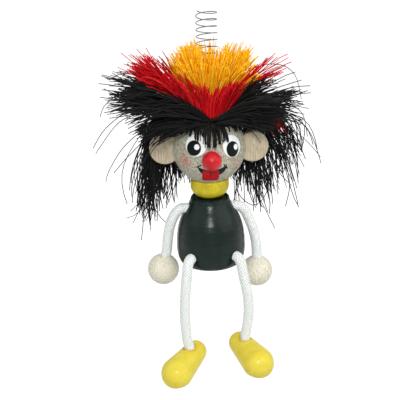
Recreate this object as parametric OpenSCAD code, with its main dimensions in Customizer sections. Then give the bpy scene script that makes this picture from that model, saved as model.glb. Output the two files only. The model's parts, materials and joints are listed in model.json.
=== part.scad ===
// Wooden figure that hangs and bounces on a coil spring.
// Frame: origin at the top end of the spring, where the figure is hung, +Z up, the face looks along -Y.
// Left and right are the figure's own: its left hand is on +X.

/* [Spring] */
// Wire thickness
wire_d = 0.45; // [0.35:0.05:0.6]
// Coil diameter, measured at the middle of the wire
coil_d = 9.7; // [9.3:0.1:10.1]
// Rise of one turn as the figure hangs still
coil_pitch = 3.15; // [2.4:0.05:4]
// Turns that stretch, below the turn that is held
coil_turns = 15.5; // [12:0.5:18]
// Height in which the lowest turn runs in to the end loop
foot_fall = 2.7; // [1.8:0.1:3]
// End loop round the screw, measured at the middle of the wire
loop_d = 3.5; // [3.2:0.1:3.8]
// Height in which the wire winds once round the screw
loop_fall = 0.95; // [0.9:0.05:1.2]
// Clear height under the end loop
loop_clearance = 0.45; // [0.3:0.05:0.8]

/* [Spring screw] */
// Shank of the round-head screw
screw_shank_d = 1.8; // [1.4:0.1:2]
// Head of the screw
screw_head_d = 4.6; // [4.4:0.1:4.8]
// Height of the screw's round head
screw_head_h = 1.2; // [0.8:0.1:1.6]
// Length of thread in the wood
screw_depth = 12; // [8:0.5:13]

/* [Head] */
// Diameter of the head ball
head_d = 35; // [34:0.5:37]
// Recess in the crown that holds the spring screw and the yarn
crown_d = 25; // [24.5:0.5:26]
// Depth of that recess at its rim
crown_depth = 3; // [2.8:0.1:3.6]
// Diameter of an ear disc
ear_d = 15; // [14:0.5:17]
// Thickness of an ear disc
ear_t = 4.6; // [4:0.2:6]
// Length of an ear outside the ball
ear_reach = 11.1; // [9:0.1:12]
// Height by which the right ear sits above the left one
ear_lift = 0.8; // [0:0.1:1.2]
// Small radius round the edge of an ear
ear_edge = 0.8; // [0.4:0.1:1.2]
// Diameter of the nose ball
nose_d = 9.2; // [8:0.2:11]
// Height of the nose ball's centre above the face
nose_rise = 2.2; // [1.6:0.1:2.8]
// Angle by which the nose sits below the middle of the face
nose_down = 2.4; // [0:0.2:4]
// Angle by which the nose sits to the right of the middle
nose_aside = 2; // [0:0.2:4]
// Depth of the flat that the nose sits on
nose_flat = 0.5; // [0.3:0.1:0.8]
// Diameter of the peg in the nose
nose_peg_d = 3; // [2:0.5:3.5]
// Length of the nose peg
nose_peg_len = 8; // [6:0.5:10]

/* [Neck] */
// Diameter of the neck collar
collar_d = 18.6; // [17:0.2:19.4]
// Height from the torso's top to the bottom of the head ball
neck_gap = 7; // [6:0.2:8]
// Height of the collar at its rim
collar_h = 9.2; // [8.4:0.1:9.4]
// Diameter of the neck dowel
dowel_d = 6; // [5:0.5:7]
// Length of the dowel in the head
dowel_in_head = 9; // [6:0.5:10]
// Length of the dowel in the torso
dowel_in_torso = 2.9; // [2.4:0.1:3]

/* [Torso] */
// Height of the turned torso
torso_h = 34.3; // [33.6:0.1:37]
// Diameter of its flat top
torso_top_d = 18.6; // [18:0.2:19.6]
// Largest diameter
torso_d = 33.8; // [32:0.2:35]
// Diameter of its flat base
torso_base_d = 27; // [24:0.5:27]
// Depth of the largest diameter below the top
torso_wide_at = 25.5; // [24.5:0.1:26.5]
// Small radius round the top edge
torso_edge = 0.6; // [0.4:0.1:0.8]

/* [Cords] */
// Diameter of the braided cord of the arms and legs
cord_d = 5; // [4.4:0.1:5.2]
// Radial room of the cord in its holes
cord_room = 0.1; // [0.05:0.05:0.2]
// Depth of the arm bore below the torso's top
shoulder_drop = 6; // [5.9:0.1:6.6]
// Distance of the arm bore's mouths from the axis
shoulder_x = 12; // [11.7:0.1:12.3]
// Depth of the leg holes below the torso's top
hip_drop = 27.5; // [26.5:0.1:28.2]
// Turn of the leg holes away from straight ahead
hip_turn = 40; // [36:1:44]
// Depth of the leg holes
hip_hole = 9; // [7:0.5:10]

/* [Hands] */
// Diameter of a hand bead
hand_d = 15.5; // [14:0.5:16.5]
// Depth of the cord hole in a hand
hand_hole = 7; // [5:0.5:9]
// Outward tilt of the right hand on its cord
right_hand_tilt = 11.5; // [0:0.5:15]

/* [Shoes] */
// Length of a shoe
shoe_len = 30.8; // [28:0.2:32]
// Width of a shoe at the toe
shoe_w = 15.6; // [14.5:0.2:16.4]
// Width of a shoe at the heel
heel_w = 11.4; // [10:0.2:12.4]
// Height of a shoe at the toe
toe_h = 11.8; // [11:0.2:13]
// Height of a shoe at the heel
heel_h = 8.8; // [8.4:0.2:10]
// Distance of the cord hole from the back of the heel
ankle_x = 9.4; // [8:0.2:10]
// Depth of the cord hole in a shoe
shoe_hole = 5; // [4:0.2:5.6]
// Inward slant of the right leg's cord where it enters its shoe
right_ankle_slant = 13; // [0:1:16]
// Outward turn of the left shoe
left_shoe_turn = 24; // [0:1:50]
// Outward turn of the right shoe
right_shoe_turn = 38; // [0:1:50]
// Angle by which the toe of the left shoe hangs down
left_shoe_tip = 14; // [0:1:30]
// Angle by which the toe of the right shoe hangs down
right_shoe_tip = 16; // [0:1:30]

/* [Hair] */
// Length of the longest gold tufts
gold_len = 39; // [32:1:41]
// Length of the longest red tufts
red_len = 44; // [36:1:46]
// Length of the longest black tufts of the crown
crown_len = 46; // [40:1:48]
// Length of the longest black tufts beside the face
side_len = 60; // [50:1:64]
// Length of the black tufts down the back of the head
back_len = 50; // [42:1:56]
// Length of the black tufts over the forehead
fringe_len = 17; // [15:1:20]
// Thickness of a tuft at its fullest
tuft_d = 4.8; // [3:0.2:5]
// Thickness of a forehead tuft at its fullest
fringe_d = 4; // [2.6:0.2:4.2]
// Gap between one ring of yarn and the next
yarn_gap = 0.1; // [0.05:0.05:0.2]
// Gap between the yarn and the spring
yarn_clearance = 0.6; // [0.4:0.1:0.8]
// Height of the outermost bound ends of the yarn above the recess floor
yarn_root_h = 4.9; // [4.7:0.1:5.4]
// Height by which each ring of yarn stands above the next one out
yarn_step = 1; // [0.8:0.1:1.2]

/* [Hidden] */
$fn = 64;

// Glue room between a peg, disc or dowel and its hole, on the radius
glue_room = 0.05;
// A cut runs this far past the face that it opens
past = 1;
// Diameter of a hole that takes a glued piece of diameter d
function glued(d) = d + 2 * glue_room;

wood_pale = [0.80, 0.74, 0.63];
wood_peg = [0.85, 0.76, 0.58];
black_yarn = [0.06, 0.05, 0.05];
white_cord = [0.91, 0.92, 0.90];
yellow = [0.94, 0.77, 0.08];

wire_r = wire_d / 2;
cord_r = cord_d / 2;
head_r = head_d / 2;
crown_r = crown_d / 2;

// Heights, from the spring's top down
coil_end_z = -wire_r - coil_pitch * (1 + coil_turns);
loop_z = coil_end_z - foot_fall;
crown_floor_z = loop_z - loop_fall - wire_r - loop_clearance;
head_z = crown_floor_z + crown_depth - sqrt(head_r * head_r - crown_r * crown_r);
torso_z = head_z - head_r - neck_gap;
shoulder_z = torso_z - shoulder_drop;
hip_z = torso_z - hip_drop;

// Corners per turn of wire, and corners round the wire
coil_steps = 8;
wire_sides = 6;
cord_sides = 10;
// Where the cut end of the wire stands, seen from above
coil_start = -155;

// Vector and sweep helpers
function unit(v) = v / norm(v);
function along(path, i) = unit(path[min(i + 1, len(path) - 1)] - path[max(i - 1, 0)]);
function ring(middle, way, side, r, sides) =
    let (u = unit(cross(side, way)), v = cross(u, way))
    [for (k = [0:sides - 1]) middle + r * (cos(360 * k / sides) * u + sin(360 * k / sides) * v)];
function rings(path, r, sides, side) =
    [for (i = [0:len(path) - 1]) ring(path[i], along(path, i), side, r, sides)];

// Closed skin through a list of rings that have the same number of corners
module loft(loops) {
    n = len(loops[0]);
    last = (len(loops) - 1) * n;
    skin = [for (i = [0:len(loops) - 2], k = [0:n - 1], half = [0, 1])
        let (a = i * n + k, b = i * n + (k + 1) % n)
        half == 0 ? [a, b, a + n] : [b, b + n, a + n]];
    caps = [for (k = [1:n - 2], end = [0, 1]) end == 0 ? [0, k + 1, k] : [last, last + k, last + k + 1]];
    polyhedron(points = [for (loop = loops) each loop], faces = concat(skin, caps));
}

// Rounds a hand-drawn route: two steps on a smooth curve between each two points
function smooth(p, i, t) =
    let (a = p[max(i - 1, 0)], b = p[i], c = p[i + 1], d = p[min(i + 2, len(p) - 1)])
    0.5 * (2 * b + (c - a) * t + (2 * a - 5 * b + 4 * c - d) * t * t + (3 * b - a - 3 * c + d) * t * t * t);
function rounded(p) = concat([for (i = [0:len(p) - 2], t = [0, 0.5]) smooth(p, i, t)], [p[len(p) - 1]]);

// Spring: the wire's middle line, counted in turns from its cut end
function coil_point(turn) =
    let (a = coil_start + 360 * turn)
    [coil_d / 2 * cos(a), coil_d / 2 * sin(a), -wire_r - coil_pitch * turn];

// The foot runs in for one and a quarter turns, then winds once round the screw
foot_run = 1.25;
foot_turns = foot_run + 1;
// Share of that run in at which the wire has come down to the level of its loop
foot_level_at = 0.7;
function foot_point(turn) =
    let (a = coil_start + 360 * (1 + coil_turns + turn), t = min(1, turn / foot_run))
    let (r = coil_d / 2 + (loop_d - coil_d) / 2 * t)
    let (fall = foot_fall * min(1, t / foot_level_at) + loop_fall * max(0, turn - foot_run))
    [r * cos(a), r * sin(a), coil_end_z - fall];

// Way of the wire at a turn of the coil, and at the end of its loop
small = 0.001;
function coil_way(turn) = unit(coil_point(turn + small) - coil_point(turn - small));
foot_end_way = unit(foot_point(foot_turns) - foot_point(foot_turns - small));

// A stretch of wire runs straight for one wire thickness at both ends, square to what it meets
function straight_ends(p, way_a, way_b) =
    let (n = len(p) - 1)
    concat([p[0], p[0] + wire_d * way_a], [for (i = [1:n - 1]) p[i]], [p[n] - wire_d * way_b, p[n]]);

function coil_line(from, to, steps) =
    let (n = round((to - from) * steps))
    [for (i = [0:n]) coil_point(from + (to - from) * i / n)];
function foot_line(steps) =
    let (n = round(foot_turns * steps))
    [for (i = [0:n]) foot_point(foot_turns * i / n)];

// Least distance between parts of the wire that are half a turn or more apart along it
measure_steps = 16;
whole_wire = concat(coil_line(0, 1 + coil_turns, measure_steps), foot_line(measure_steps));
least_gap = min([for (i = [0:len(whole_wire) - 1], j = [i + measure_steps / 2:len(whole_wire) - 1])
    norm(whole_wire[i] - whole_wire[j])]) - wire_d;
echo(str("least gap of the spring wire to itself, mm: ", least_gap));

module wire(line, way_a, way_b) color([0.34, 0.34, 0.36])
    loft(rings(straight_ends(line, way_a, way_b), wire_r, wire_sides, [0, 0, 1]));

module spring_top_turn() wire(coil_line(0, 1, coil_steps), coil_way(0), coil_way(1));

module spring_coil() wire(coil_line(1, 1 + coil_turns, coil_steps), coil_way(1), coil_way(1 + coil_turns));

module spring_foot() wire(foot_line(coil_steps + 2), coil_way(1 + coil_turns), foot_end_way);

// Round-head screw through the spring's end loop
screw_room = 0.15;
screw_slot_w = 0.6;
screw_slot_h = 0.5;
screw_head_z = loop_z + wire_r + screw_room;
screw_tip_z = crown_floor_z - screw_depth;
screw_dome_r = (screw_head_d * screw_head_d / 4 + screw_head_h * screw_head_h) / (2 * screw_head_h);
module spring_screw() color([0.75, 0.73, 0.68]) {
    translate([0, 0, screw_tip_z]) cylinder(h = screw_head_z - screw_tip_z, d = screw_shank_d);
    translate([0, 0, screw_head_z]) difference() {
        rotate_extrude() intersection() {
            translate([0, screw_head_h - screw_dome_r]) circle(r = screw_dome_r);
            square([screw_head_d, screw_head_h]);
        }
        translate([-screw_head_d, -screw_slot_w / 2, screw_head_h - screw_slot_h])
            cube([2 * screw_head_d, screw_slot_w, screw_head_h]);
    }
}

// Head ball with the crown recess, screw hole, dowel hole, ear slots and the seat of the nose
ear_x = head_r + ear_reach - ear_d / 2;
function ear_z(side) = head_z - 0.3 + (side < 0 ? ear_lift : 0);
nose_seat = head_r - nose_flat;
nose_seat_r = sqrt(nose_d * nose_d / 4 - (nose_rise + nose_flat) * (nose_rise + nose_flat));

// Up here is straight out of the face, from the middle of the ball through the nose
module on_face() translate([0, 0, head_z]) rotate([90 + nose_down, 0, -nose_aside]) children();

module head() color(wood_pale) difference() {
    translate([0, 0, head_z]) sphere(r = head_r);
    translate([0, 0, crown_floor_z]) cylinder(h = head_r, r = crown_r);
    translate([0, 0, screw_tip_z - glue_room]) cylinder(h = screw_depth + past, d = glued(screw_shank_d));
    translate([0, 0, head_z - head_r - past]) cylinder(h = dowel_in_head + past, d = glued(dowel_d));
    for (side = [-1, 1]) translate([side * ear_x, 0, ear_z(side)]) rotate([90, 0, 0])
        cylinder(h = glued(ear_t), d = glued(ear_d), center = true);
    on_face() {
        translate([0, 0, nose_seat]) cylinder(h = head_r, r = nose_seat_r + glue_room);
        translate([0, 0, nose_seat - nose_peg_len / 2]) cylinder(h = nose_peg_len, d = glued(nose_peg_d));
    }
}

// Flat disc with a softened edge
module ear(side) color([0.83, 0.72, 0.55]) translate([side * ear_x, 0, ear_z(side)]) rotate([90, 0, 0])
    rotate_extrude() {
        translate([0, -ear_t / 2]) square([ear_d / 2 - ear_edge, ear_t]);
        translate([0, ear_edge - ear_t / 2]) square([ear_d / 2, ear_t - 2 * ear_edge]);
        for (face = [-1, 1]) translate([ear_d / 2 - ear_edge, face * (ear_t / 2 - ear_edge)])
            circle(r = ear_edge);
    }
module ear_left() ear(1);
module ear_right() ear(-1);

// Ball with a flat back, drilled for its peg
nose_back = nose_rise + nose_flat;
nose_bore = nose_peg_len / 2 - nose_back + glue_room;
module nose() color([0.85, 0.10, 0.10]) on_face() translate([0, 0, head_r + nose_rise]) rotate_extrude()
    difference() {
        intersection() {
            circle(d = nose_d);
            translate([0, -nose_back]) square([nose_d, nose_d + nose_back]);
        }
        translate([0, -nose_back - past]) square([glued(nose_peg_d) / 2, nose_bore + nose_back + past]);
    }

module nose_peg() color(wood_peg) on_face() translate([0, 0, nose_seat - nose_peg_len / 2 + glue_room])
    cylinder(h = nose_peg_len - glue_room, d = nose_peg_d);

// Hair: yarn bundles in four rings round the spring, each ring bound where it stands in the recess
yarn_rings = 4;
hair_in_r = coil_d / 2 + wire_r + yarn_clearance;
yarn_t = (crown_r - hair_in_r) / yarn_rings - yarn_gap;
yarn_sides = 5;
function yarn_ring_r(n) = hair_in_r + yarn_t / 2 + n * (yarn_t + yarn_gap);
function yarn_ring_h(n) = yarn_root_h + (yarn_rings - 1 - n) * yarn_step;

// Bound ends of ring n, from one azimuth to another
module yarn_ring(n, from, to) translate([0, 0, crown_floor_z]) rotate([0, 0, from])
    rotate_extrude(angle = to - from) translate([yarn_ring_r(n) - yarn_t / 2, 0])
        square([yarn_t, yarn_ring_h(n)]);

// Middle line of a tuft, one straight step after another, each with its own slope
function step(az, slope, length) = length * [cos(az) * cos(slope), sin(az) * cos(slope), sin(slope)];
function walk(p, az, slopes, steps, i = 0) = i == len(slopes) ? [p] :
    concat([p], walk(p + step(az, slopes[i], steps[i]), az, slopes, steps, i + 1));

// A tuft is knotted in to its ring at the root, fullest on the way out and pointed at the tip
root_dip = 0.8;
knot_d = yarn_t * 0.8;
knot_h = 1.2;
fullest_at = 0.4;
tip_share = 0.07;
function tuft_r(t, full) = t < fullest_at ? yarn_t / 2 + (full - yarn_t / 2) * pow(t / fullest_at, 1.6) :
    full * (1 - (1 - tip_share) * (t - fullest_at) / (1 - fullest_at));
module tuft(n, az, slopes, steps, full_d) {
    root_z = crown_floor_z + yarn_ring_h(n) - root_dip;
    line = walk([yarn_ring_r(n) * cos(az), yarn_ring_r(n) * sin(az), root_z], az, slopes, steps);
    parts = len(slopes);
    side = [-sin(az), cos(az), 0];
    loft([for (i = [0:parts])
        ring(line[i], along(line, i), side, tuft_r(i / parts, full_d / 2), yarn_sides)]);
    hull() for (end = [-1, 1]) translate(line[0] + [0, 0, end * knot_h / 2])
        cylinder(h = knot_d / 4, d1 = end > 0 ? knot_d : knot_d / 2, d2 = end > 0 ? knot_d / 2 : knot_d,
            center = true, $fn = yarn_sides);
}

// Standing tufts bend evenly over their steps
stand_steps = 4;
module standing_tuft(n, az, slope, tip_slope, length, full_d)
    tuft(n, az, [for (i = [0:stand_steps - 1]) slope + (tip_slope - slope) * i / (stand_steps - 1)],
        [for (i = [1:stand_steps]) length / stand_steps], full_d);

// Hanging tufts clear the ball in four short steps and then fall in two long ones
clear_steps = 4;
clear_step = 5.5;
inner_hang = [2, -28, -58, -78, -84, -90];
outer_hang = [19, 6, -16, -52, -80, -88];
open_hang = [20, 8, -8, -34, -60, -72];
module hanging_tuft(n, az, slopes, length) {
    fall_steps = len(slopes) - clear_steps;
    fall_step = (length - clear_steps * clear_step) / fall_steps;
    tuft(n, az, slopes, [for (i = [1:len(slopes)]) i <= clear_steps ? clear_step : fall_step], tuft_d);
}

// Spread of lengths and slopes from tuft to tuft, the same at every build
length_spread = 0.07;
function spread(count, seed) = rands(-1, 1, count, seed);
function varied(length, amount) = length * (1 - length_spread + length_spread * amount);

// A whole ring of standing tufts, whose tips turn by one slope and the other in turn
module crest(n, count, slope, tip_slopes, length, seed) {
    vary = spread(2 * count, seed);
    yarn_ring(n, 0, 360);
    for (i = [0:count - 1]) standing_tuft(n, 360 * (i + n / 3) / count, slope + vary[i], tip_slopes[i % 2],
        varied(length, vary[count + i]), tuft_d);
}

module hair_gold() color([0.93, 0.62, 0.10]) crest(0, 22, 87, [80, 48], gold_len, 11);

module hair_red() color([0.72, 0.07, 0.07]) crest(1, 26, 69, [38, 12], red_len, 23);

module hair_crown() color(black_yarn) crest(2, 34, 51, [10, -34], crown_len, 37);

// Short locks that fall over the forehead
fringe_count = 11;
fringe_turn = 11;
fringe_half = 59;
module hair_fringe() color(black_yarn) {
    vary = spread(fringe_count, 41);
    yarn_ring(3, -90 - fringe_half, -90 + fringe_half);
    for (i = [0:fringe_count - 1]) standing_tuft(3, -90 + fringe_turn * (i - (fringe_count - 1) / 2), 12, -74,
        varied(fringe_len, vary[i]), fringe_d);
}

// Long locks that fall behind an ear and beside the neck, an outer and an inner one in turn
side_count = 8;
side_from = 19;
side_turn = 4.9;
side_ring = [-28, 58];
module side_locks(side, seed, outer_slopes) {
    vary = spread(side_count, seed);
    yarn_ring(3, side > 0 ? side_ring[0] : 180 - side_ring[1], side > 0 ? side_ring[1] : 180 - side_ring[0]);
    for (i = [0:side_count - 1]) {
        az = side_from + side_turn * i;
        hanging_tuft(3, side > 0 ? az : 180 - az, i % 2 == 0 ? outer_slopes : inner_hang,
            varied(side_len, vary[i]));
    }
}
module hair_side_left() color(black_yarn) side_locks(1, 53, open_hang);
module hair_side_right() color(black_yarn) side_locks(-1, 59, outer_hang);

// The back falls in one row, an outer and an inner tuft in turn
back_count = 11;
back_turn = 4.9;
back_half = 29;
module hair_back() color(black_yarn) {
    vary = spread(back_count, 67);
    yarn_ring(3, 90 - back_half, 90 + back_half);
    for (i = [0:back_count - 1]) hanging_tuft(3, 90 + back_turn * (i - (back_count - 1) / 2),
        i % 2 == 0 ? outer_hang : inner_hang, varied(back_len, vary[i]));
}

// Turned collar, dished on top to seat the head ball
collar_round = 5.5;
collar_top_round = 1;
module collar() color(yellow) difference() {
    translate([0, 0, torso_z]) rotate_extrude() {
        square([collar_d / 2 - collar_round, collar_h]);
        translate([0, collar_round]) square([collar_d / 2, collar_h - collar_round - collar_top_round]);
        intersection() {
            translate([collar_d / 2 - collar_round, collar_round]) circle(r = collar_round);
            square([collar_d, collar_h - collar_top_round]);
        }
        translate([0, collar_h - 2 * collar_top_round])
            square([collar_d / 2 - collar_top_round, 2 * collar_top_round]);
        translate([collar_d / 2 - collar_top_round, collar_h - collar_top_round])
            circle(r = collar_top_round);
    }
    translate([0, 0, head_z]) sphere(r = head_r + glue_room);
    translate([0, 0, torso_z - past]) cylinder(h = collar_h + 2 * past, d = glued(dowel_d));
}

module neck_dowel() color(wood_peg) translate([0, 0, torso_z - dowel_in_torso])
    cylinder(h = dowel_in_torso + neck_gap + dowel_in_head - glue_room, d = dowel_d);

// Torso outline: two smooth curves that meet at the largest diameter, then a rounded foot
function curve(a, b, c, d, t) =
    pow(1 - t, 3) * a + 3 * t * pow(1 - t, 2) * b + 3 * t * t * (1 - t) * c + pow(t, 3) * d;
torso_steps = 10;
torso_r = torso_d / 2;
torso_top_r = torso_top_d / 2;
torso_base_r = torso_base_d / 2;
torso_foot_h = torso_h - torso_wide_at;
torso_upper = [for (i = [0:torso_steps])
    curve([torso_top_r, -torso_edge], [torso_top_r + 1.3, -torso_wide_at * 0.275],
        [torso_r, -torso_wide_at * 0.333], [torso_r, -torso_wide_at], i / torso_steps)];
torso_lower = [for (i = [1:torso_steps])
    curve([torso_r, -torso_wide_at], [torso_r, -torso_wide_at - torso_foot_h * 0.6],
        [torso_base_r + 1.9, -torso_h], [torso_base_r, -torso_h], i / torso_steps)];
module torso() color([0.05, 0.09, 0.08]) difference() {
    translate([0, 0, torso_z]) rotate_extrude()
        polygon(concat([[0, 0], [torso_top_r - torso_edge, 0]], torso_upper, torso_lower, [[0, -torso_h]]));
    translate([0, 0, torso_z - dowel_in_torso - glue_room]) cylinder(h = torso_h, d = glued(dowel_d));
    translate([-torso_d, 0, shoulder_z]) rotate([0, 90, 0]) cylinder(h = 2 * torso_d, r = cord_r + cord_room);
    for (side = [-1, 1]) translate([0, 0, hip_z]) rotate([0, 0, side * hip_turn])
        translate([0, hip_hole - torso_r, 0]) rotate([90, 0, 0])
            cylinder(h = torso_d, r = cord_r + cord_room);
}

// Arm cord: one length through the torso, shown as the hidden middle and the two free ends
module arm_cord_middle() color(white_cord) translate([-shoulder_x, 0, shoulder_z]) rotate([0, 90, 0])
    cylinder(h = 2 * shoulder_x, r = cord_r);

// Routes of the arms, out and down from just outside the mouth of the bore to the top of the hand
arm_left_route = [[1.8, 0], [3.3, -0.8], [5.5, -3.7], [7.6, -8.6], [9.2, -13.2], [10.2, -17.8], [10.7, -21.8],
    [10.9, -25.1], [10.9, -27.6]];
arm_right_route = [[1.8, 0], [3.3, -0.7], [5.2, -2.7], [7.1, -6.3], [8.4, -10.5], [9.2, -14.8], [9.65, -18.9],
    [9.95, -21.4], [10.45, -23.9]];
// Way in which a cord runs straight down into its hole, tilted outwards
function hole_way(side, tilt) = [side * sin(tilt), 0, -cos(tilt)];
function arm_point(side, p) = [side * (shoulder_x + p[0]), 0, shoulder_z + p[1]];
function arm_line(side, route, tilt) =
    let (free = [for (p = concat([[0, 0]], rounded(route))) arm_point(side, p)])
    concat(free, [free[len(free) - 1] + hand_hole * hole_way(side, tilt)]);
module arm_cord(side, route, tilt) color(white_cord)
    loft(rings(arm_line(side, route, tilt), cord_r, cord_sides, [0, 1, 0]));
module arm_cord_left() arm_cord(1, arm_left_route, 0);
module arm_cord_right() arm_cord(-1, arm_right_route, right_hand_tilt);

// A hand is a bead, drilled from above to take the end of its cord
module hand(side, route, tilt) color([0.83, 0.74, 0.60])
    translate(arm_point(side, route[len(route) - 1])) rotate([0, side * -tilt, 0]) difference() {
        translate([0, 0, -hand_d / 2]) sphere(d = hand_d);
        translate([0, 0, -hand_hole - glue_room]) cylinder(h = hand_d, r = cord_r + cord_room);
    }
module hand_left() hand(1, arm_left_route, 0);
module hand_right() hand(-1, arm_right_route, right_hand_tilt);

// Routes of the legs, from the mouth of the leg hole outwards, forwards and down to the top of the shoe
leg_left_route = [[0, 0, 0], [1.3, -1.6, -0.6], [2.3, -3, -3], [3, -3.7, -7.5], [4.1, -4.1, -13.5],
    [5.25, -4.1, -20], [5.6, -4, -27], [5.2, -3.9, -33], [4.5, -3.7, -38], [4, -3.6, -41], [3.9, -3.6, -42.7]];
leg_right_route = [[0, 0, 0], [1.3, -1.6, -0.6], [2.3, -3, -3], [2.9, -3.7, -7.5], [3.6, -4.1, -14],
    [4.2, -4.1, -21], [4.45, -4, -28.5], [4.1, -3.9, -36], [3.65, -3.7, -41.2], [3.2, -3.6, -43.8],
    [2.7, -3.6, -45.9]];
hip_inset = 0.2;
hip_r = torso_r - hip_inset;
function hip_point(side, r) = [side * r * sin(hip_turn), -r * cos(hip_turn), hip_z];
function leg_point(side, p) = hip_point(side, hip_r) + [side * p[0], p[1], p[2]];
function leg_line(side, route, slant) =
    let (free = [for (p = rounded(route)) leg_point(side, p)])
    concat([hip_point(side, torso_r - hip_hole + glue_room)], free,
        [free[len(free) - 1] + shoe_hole * hole_way(side, -slant)]);
module leg_cord(side, route, slant) color(white_cord)
    loft(rings(leg_line(side, route, slant), cord_r, cord_sides, [side * cos(hip_turn), sin(hip_turn), 0]));
module leg_cord_left() leg_cord(1, leg_left_route, 0);
module leg_cord_right() leg_cord(-1, leg_right_route, right_ankle_slant);

// A shoe lies along +X here, sole at zero, back of the heel at zero
toe_mid_share = 0.32;
shoe_fn = 28;
module shoe_form() intersection() {
    hull() {
        translate([heel_w / 2, 0, heel_h - heel_w / 2]) sphere(d = heel_w, $fn = shoe_fn);
        translate([shoe_len - shoe_w / 2, 0, toe_h * toe_mid_share])
            scale([1, 1, 2 * toe_h * (1 - toe_mid_share) / shoe_w]) sphere(d = shoe_w, $fn = shoe_fn);
    }
    translate([-past, -shoe_w, 0]) cube([shoe_len + 2 * past, 2 * shoe_w, 2 * toe_h]);
}

// The cord's end stands in a hole that is drilled along the cord
ankle_share = (ankle_x - heel_w / 2) / (shoe_len - heel_w / 2 - shoe_w / 2);
ankle_h = heel_h + (toe_h - heel_h) * ankle_share;
module shoe(side, route, turn, tip, slant) color(yellow) translate(leg_point(side, route[len(route) - 1]))
    difference() {
        rotate([0, tip, side * turn - 90]) translate([-ankle_x, 0, -ankle_h]) shoe_form();
        rotate([0, side * slant, 0]) translate([0, 0, -shoe_hole - glue_room])
            cylinder(h = 3 * toe_h, r = cord_r + cord_room);
    }
module shoe_left() shoe(1, leg_left_route, left_shoe_turn, left_shoe_tip, 0);
module shoe_right() shoe(-1, leg_right_route, right_shoe_turn, right_shoe_tip, right_ankle_slant);

spring_top_turn();
spring_coil();
spring_foot();
spring_screw();
head();
ear_left();
ear_right();
nose();
nose_peg();
hair_gold();
hair_red();
hair_crown();
hair_fringe();
hair_side_left();
hair_side_right();
hair_back();
collar();
neck_dowel();
torso();
arm_cord_middle();
arm_cord_left();
arm_cord_right();
hand_left();
hand_right();
leg_cord_left();
leg_cord_right();
shoe_left();
shoe_right();
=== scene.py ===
# %% [markdown]
# # A wooden figure on a spring
# The toy is a ball head with disc ears, a mop of yarn, a turned torso and cord limbs, hung from a
# coil spring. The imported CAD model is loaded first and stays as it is. Each step below dresses one
# part of it. Wooden parts keep their CAD shape and get a finish. Wire, cord, yarn and shoes are
# modelled again in more detail.

# %% Load the frame
import json
import math
import random

import bpy
from mathutils import Matrix, Vector

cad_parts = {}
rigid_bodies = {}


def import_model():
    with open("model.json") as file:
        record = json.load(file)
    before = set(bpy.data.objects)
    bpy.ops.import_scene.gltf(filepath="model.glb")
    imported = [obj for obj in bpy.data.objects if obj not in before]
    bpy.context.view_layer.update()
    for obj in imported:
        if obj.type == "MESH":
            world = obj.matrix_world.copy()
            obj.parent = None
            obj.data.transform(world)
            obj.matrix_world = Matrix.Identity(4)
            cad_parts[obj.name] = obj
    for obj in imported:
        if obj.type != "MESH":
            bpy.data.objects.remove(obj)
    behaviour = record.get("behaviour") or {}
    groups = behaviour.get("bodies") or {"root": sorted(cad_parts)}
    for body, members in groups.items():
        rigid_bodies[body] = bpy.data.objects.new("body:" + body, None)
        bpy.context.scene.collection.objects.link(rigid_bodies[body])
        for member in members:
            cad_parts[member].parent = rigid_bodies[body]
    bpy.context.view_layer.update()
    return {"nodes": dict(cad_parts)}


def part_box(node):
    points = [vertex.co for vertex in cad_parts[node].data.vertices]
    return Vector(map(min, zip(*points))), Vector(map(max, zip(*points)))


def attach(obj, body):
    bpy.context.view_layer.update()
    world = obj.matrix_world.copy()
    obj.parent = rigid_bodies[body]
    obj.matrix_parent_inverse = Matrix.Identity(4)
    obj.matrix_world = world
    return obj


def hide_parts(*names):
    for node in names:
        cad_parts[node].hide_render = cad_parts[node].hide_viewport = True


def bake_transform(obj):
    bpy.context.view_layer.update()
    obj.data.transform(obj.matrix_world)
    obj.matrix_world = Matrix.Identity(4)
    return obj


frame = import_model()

MM = 0.001

# %% [markdown]
# ## Camera
# The photograph was taken from about half a metre with a long lens, 20 degrees above the figure's
# face and 5 degrees to its right. A real camera can be placed by three turns: around the world's Z,
# then up from straight down, then a small roll round its own view. One matrix product keeps the
# order of those turns plain.

# %% Camera
CAMERA_AT = (-0.04485, -0.45659, 0.07430)
CAMERA_AZIMUTH = -5
CAMERA_ELEVATION = 20
CAMERA_ROLL = -1.4
FOCAL_LENGTH = 90
SENSOR_WIDTH = 36

bpy.ops.object.camera_add()
camera = bpy.context.object
camera.name = "camera"
camera.matrix_world = (
    Matrix.Translation(CAMERA_AT)
    @ Matrix.Rotation(math.radians(CAMERA_AZIMUTH), 4, "Z")
    @ Matrix.Rotation(math.radians(90 - CAMERA_ELEVATION), 4, "X")
    @ Matrix.Rotation(math.radians(CAMERA_ROLL), 4, "Z"))
camera.data.lens = FOCAL_LENGTH
camera.data.sensor_width = SENSOR_WIDTH
bpy.context.scene.camera = camera
print("camera at", tuple(round(v, 3) for v in camera.location))

# %% [markdown]
# ## Places taken over from the CAD model
# Wire, cords and yarn are made again here, so their places are worked out from the same measures,
# in millimetres. Everything hangs from the top of the spring at zero, so heights run down from
# there.

# %% Measures
WIRE_D = 0.45
COIL_D = 9.7
COIL_PITCH = 3.15
COIL_TURNS = 15.5
COIL_START = -155
FOOT_FALL = 2.7
FOOT_RUN = 1.25
LOOP_D = 3.5
LOOP_FALL = 0.95
LOOP_CLEARANCE = 0.45
CROWN_R = 12.5
CROWN_DEPTH = 3
HEAD_R = 17.5
NECK_GAP = 7
SHOULDER_DROP = 6
HIP_DROP = 27.5
CORD_D = 5

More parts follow.
